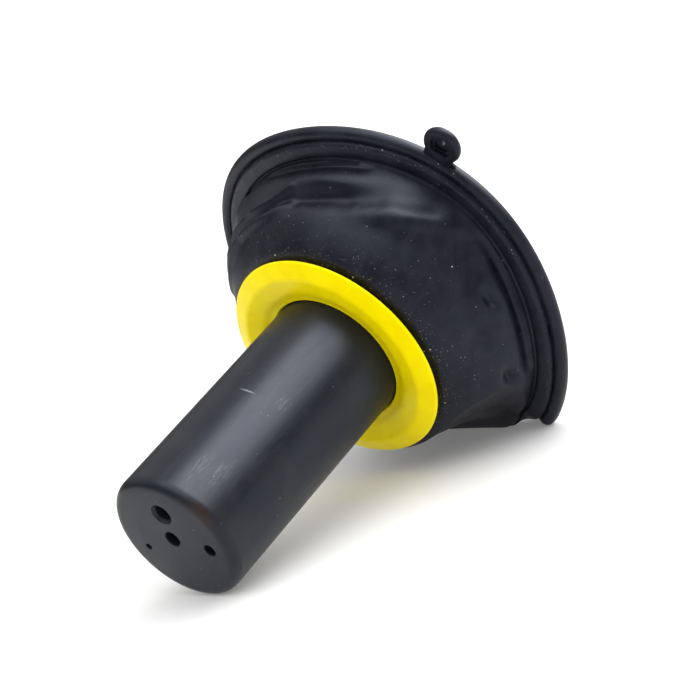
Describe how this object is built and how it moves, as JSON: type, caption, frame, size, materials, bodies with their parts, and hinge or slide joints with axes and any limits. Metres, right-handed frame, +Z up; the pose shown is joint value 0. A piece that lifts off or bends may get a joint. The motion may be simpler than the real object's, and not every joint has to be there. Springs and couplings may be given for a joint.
{
  "type": "carburettor vacuum piston",
  "caption": "Hollow anodised slide with drilled closed end, clamped by a dished plastic ring to a flexible rubber diaphragm with beaded rim and seal loop.",
  "frame": {"origin": "centre of the part's footprint box on the table it lies on", "axes": "+Z up from the table, +Y along the lying piston from the slide's closed end to the open cup, +X across; the piston's own axis leans 15.6 degrees up from +Y towards +Z"},
  "size_m": [0.0644, 0.0676, 0.0573],
  "materials": {
    "anodised_aluminium": "semi-matte hard anodised, charcoal",
    "yellow_plastic": "glossy moulded",
    "black_rubber": "moulded, dull sheen with dust"
  },
  "bodies": {
    "rim": {"diaphragm_rim": "black_rubber", "diaphragm_membrane": "black_rubber"},
    "piston": {"slide": "anodised_aluminium", "retaining_ring": "yellow_plastic", "diaphragm_inner_bead": "black_rubber"}
  },
  "joints": [
    {"name": "piston_lift", "type": "slide", "parent": "rim", "child": "piston", "axis": [0, 0.9632, 0.2689], "range_m": [0, 0.024], "stiffness_N_per_m": 40, "deforming": ["diaphragm_membrane"]}
  ]
}
